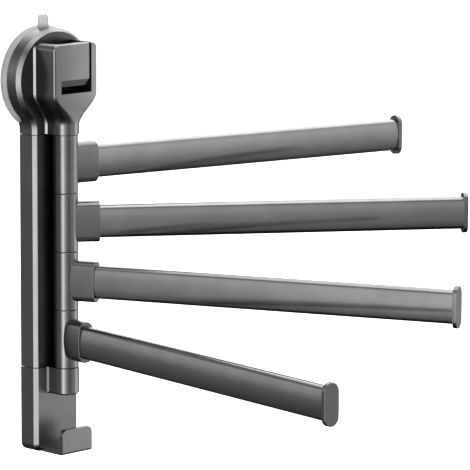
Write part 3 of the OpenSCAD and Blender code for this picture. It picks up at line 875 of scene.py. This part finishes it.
for name in ("backing_plate", "upper_bush", "lower_bush", "friction_washers"):
    paint(name, INNER)
for name in ("housing_screws", "pull_rod", "lever_pin", "cover_screws", "shaft", "shaft_screw"):
    paint(name, STEEL)
for number in ARMS:
    paint("arm_%d_screw" % number, STEEL)


# Floor

FLOOR_DROP = 0.45
FLOOR_SIZE = 30
FLOOR_ROUGHNESS = 0.9
FLOOR_GLOW = 0.45
SPECKLE_SCALE = 300


def floor():
    z = cad_box[0].z - FLOOR_DROP
    half = FLOOR_SIZE / 2
    square = ((-half, -half), (half, -half), (half, half), (-half, half))
    obj = new_object("floor", [Vector((x, y, z)) for x, y in square], [(0, 1, 2, 3)])
    material, tree, shader = node_tree("pale_floor")
    shader.inputs["Roughness"].default_value = FLOOR_ROUGHNESS
    speckle = noise(tree, SPECKLE_SCALE, GRAIN_DETAIL)
    tinted(tree, shader, spread(tree, speckle, 0, 1), (0.86, 0.86, 0.86), (0.9, 0.9, 0.9))
    glow = tree.nodes.new("ShaderNodeEmission")
    seen = tree.nodes.new("ShaderNodeLightPath").outputs["Is Camera Ray"]
    tree.links.new(spread(tree, seen, 0, FLOOR_GLOW, 0, 1), glow.inputs["Strength"])
    both = tree.nodes.new("ShaderNodeAddShader")
    tree.links.new(shader.outputs[0], both.inputs[0])
    tree.links.new(glow.outputs[0], both.inputs[1])
    tree.links.new(both.outputs[0], tree.nodes["Material Output"].inputs["Surface"])
    obj.data.materials.append(material)
    obj.visible_glossy = False


# Studio light

# Brightness of the studio by elevation, and its soft lights as azimuth, half width, elevation,
# half height and brightness. Azimuth 0 is straight in front of the wall, and positive to its left.
SKY = (
    (-90, 0.02), (-60, 0.04), (-38, 0.08), (-22, 0.19), (-9, 0.1), (2, 0.15), (14, 0.38), (26, 0.3),
    (38, 0.3), (50, 0.35), (62, 1.0), (76, 3.4), (90, 3.8),
)
SOFT_LIGHTS = (
    (-75, 50, 0, 60, 1.05),
    (-56, 26, -9, 22, 2.0),
    (-50, 40, 45, 30, 1.0),
    (-88, 50, 45, 28, 3.4),
    (40, 40, 66, 16, 0.8),
    (-17, 30, 8, 45, 1.1),
    (-20, 35, 20, 25, 0.2),
    (0, 60, 60, 20, 0.4),
    (30, 40, 20, 25, 0.2),
    (50, 50, 0, 60, 1.0),
    (66, 22, -6, 34, 3.3),
    (72, 14, -6, 34, 1.5),
    (57, 20, 26, 24, 1.4),
    (85, 35, 25, 30, 0.68),
    (110, 40, -30, 40, 0.31),
    (150, 30, 8, 25, 0.95),
    (-137, 60, 38, 45, 2.5),
)
AZIMUTH_STEP = 12
ELEVATIONS = (-89, -60, -38, -22, -9, 2, 14, 26, 38, 50, 62, 76, 89)
STUDIO_PEAK = 6
WARM_BELOW = 0.06
WARM_RED = 0.03
WARM_BLUE = 0.06


def soft_edge(share):
    return (1 - share ** 2) ** 2 if abs(share) < 1 else 0


def sky(elevation):
    for (low, dim), (high, bright) in zip(SKY, SKY[1:]):
        if elevation <= high:
            return dim + (bright - dim) * (elevation - low) / (high - low)
    return SKY[-1][1]


def brightness(azimuth, elevation):
    level = sky(elevation)
    for middle, half, height, reach, power in SOFT_LIGHTS:
        aside = (azimuth - middle + 180) % 360 - 180
        level += power * soft_edge(aside / half) * soft_edge((elevation - height) / reach)
    return level


def lit_tone(value):
    """Bright parts of the studio are neutral, and its dim parts a little warm."""
    warm = max(0, 1 - value / WARM_BELOW)
    return value * (1 + WARM_RED * warm), value, value * (1 - WARM_BLUE * warm)


def around(tree, turn, elevation):
    """Brightness of one elevation, as a ramp of stops around the full turn."""
    steps = 360 // AZIMUTH_STEP
    ramp = tree.nodes.new("ShaderNodeValToRGB")
    elements = ramp.color_ramp.elements
    while len(elements) < steps + 1:
        elements.new(0.5)
    for k, element in enumerate(elements):
        element.position = k / steps
        element.color = (*lit_tone(brightness(k * AZIMUTH_STEP - 180, elevation) / STUDIO_PEAK), 1)
    ramp.color_ramp.interpolation = "LINEAR"
    tree.links.new(turn, ramp.inputs["Fac"])
    return ramp.outputs["Color"]


def studio(tree):
    """Brightness of the studio in the direction that a ray goes."""
    where = tree.nodes.new("ShaderNodeTexCoord")
    parts = tree.nodes.new("ShaderNodeSeparateXYZ")
    tree.links.new(where.outputs["Generated"], parts.inputs[0])

    def math(operation, *values):
        node = tree.nodes.new("ShaderNodeMath")
        node.operation = operation
        for socket, value in zip(node.inputs, values):
            if isinstance(value, (int, float)):
                socket.default_value = value
            else:
                tree.links.new(value, socket)
        return node.outputs[0]

    azimuth = math("ARCTAN2", math("MULTIPLY", parts.outputs[0], -1), math("MULTIPLY", parts.outputs[1], -1))
    turn = math("ADD", math("DIVIDE", azimuth, 2 * pi), 0.5)
    rise = math("DIVIDE", math("ARCSINE", parts.outputs[2]), pi / 180)
    levels = [around(tree, turn, elevation) for elevation in ELEVATIONS]
    mixed = levels[0]
    for low, high, level in zip(ELEVATIONS, ELEVATIONS[1:], levels[1:]):
        mix = tree.nodes.new("ShaderNodeMix")
        mix.data_type = "RGBA"
        tree.links.new(spread(tree, rise, 0, 1, low, high), mix.inputs["Factor"])
        tree.links.new(mixed, mix.inputs["A"])
        tree.links.new(level, mix.inputs["B"])
        mixed = mix.outputs["Result"]
    return mixed


def world():
    """Lights the part with the studio, and shows plain white behind it."""
    made = bpy.data.worlds.new("studio")
    SCENE.world = made
    made.use_nodes = True
    tree = made.node_tree
    lit = tree.nodes["Background"]
    tree.links.new(studio(tree), lit.inputs["Color"])
    lit.inputs["Strength"].default_value = STUDIO_PEAK
    white = tree.nodes.new("ShaderNodeBackground")
    white.inputs["Color"].default_value = (1, 1, 1, 1)
    path = tree.nodes.new("ShaderNodeLightPath")
    seen = total(tree, path.outputs["Is Camera Ray"], path.outputs["Is Transmission Ray"])
    choose = tree.nodes.new("ShaderNodeMixShader")
    tree.links.new(seen, choose.inputs["Fac"])
    tree.links.new(lit.outputs[0], choose.inputs[1])
    tree.links.new(white.outputs[0], choose.inputs[2])
    tree.links.new(choose.outputs[0], tree.nodes["World Output"].inputs["Surface"])


# Key light and camera

KEY_PLACE = Vector((-0.9, -1.4, 1.3))
KEY_TARGET = Vector((0.1, -0.1, -0.1))
KEY_SIZE = 1.2
KEY_POWER = 9

# The camera stands at the photograph's viewing angle. Its turns about x, y and z are in degrees, and its
# sensor and lens in mm.
CAMERA_PLACE = Vector((-1706.18, -1882.44, 294.95)) * MM
CAMERA_TURN = (80.784691, -0.213714, -45.388538)
CAMERA_SENSOR = 36
CAMERA_LENS = 267.825
CAMERA_NEAR = 0.1
CAMERA_FAR = 60


def key_light():
    data = bpy.data.lights.new("soft_key", "AREA")
    data.shape = "DISK"
    data.size = KEY_SIZE
    data.energy = KEY_POWER
    lamp = bpy.data.objects.new("soft_key", data)
    lamp.location = KEY_PLACE
    lamp.rotation_mode = "QUATERNION"
    lamp.rotation_quaternion = (KEY_TARGET - KEY_PLACE).to_track_quat("-Z", "Y")
    lamp.visible_glossy = False
    SCENE.collection.objects.link(lamp)


def camera():
    data = bpy.data.cameras.new("camera")
    data.sensor_width = CAMERA_SENSOR
    data.lens = CAMERA_LENS
    data.clip_start = CAMERA_NEAR
    data.clip_end = CAMERA_FAR
    obj = bpy.data.objects.new("camera", data)
    turn = Euler([radians(angle) for angle in CAMERA_TURN])
    obj.matrix_world = Matrix.LocRotScale(CAMERA_PLACE, turn, None)
    SCENE.collection.objects.link(obj)
    SCENE.camera = obj


floor()
world()
key_light()
camera()
SCENE.view_settings.view_transform = "Standard"
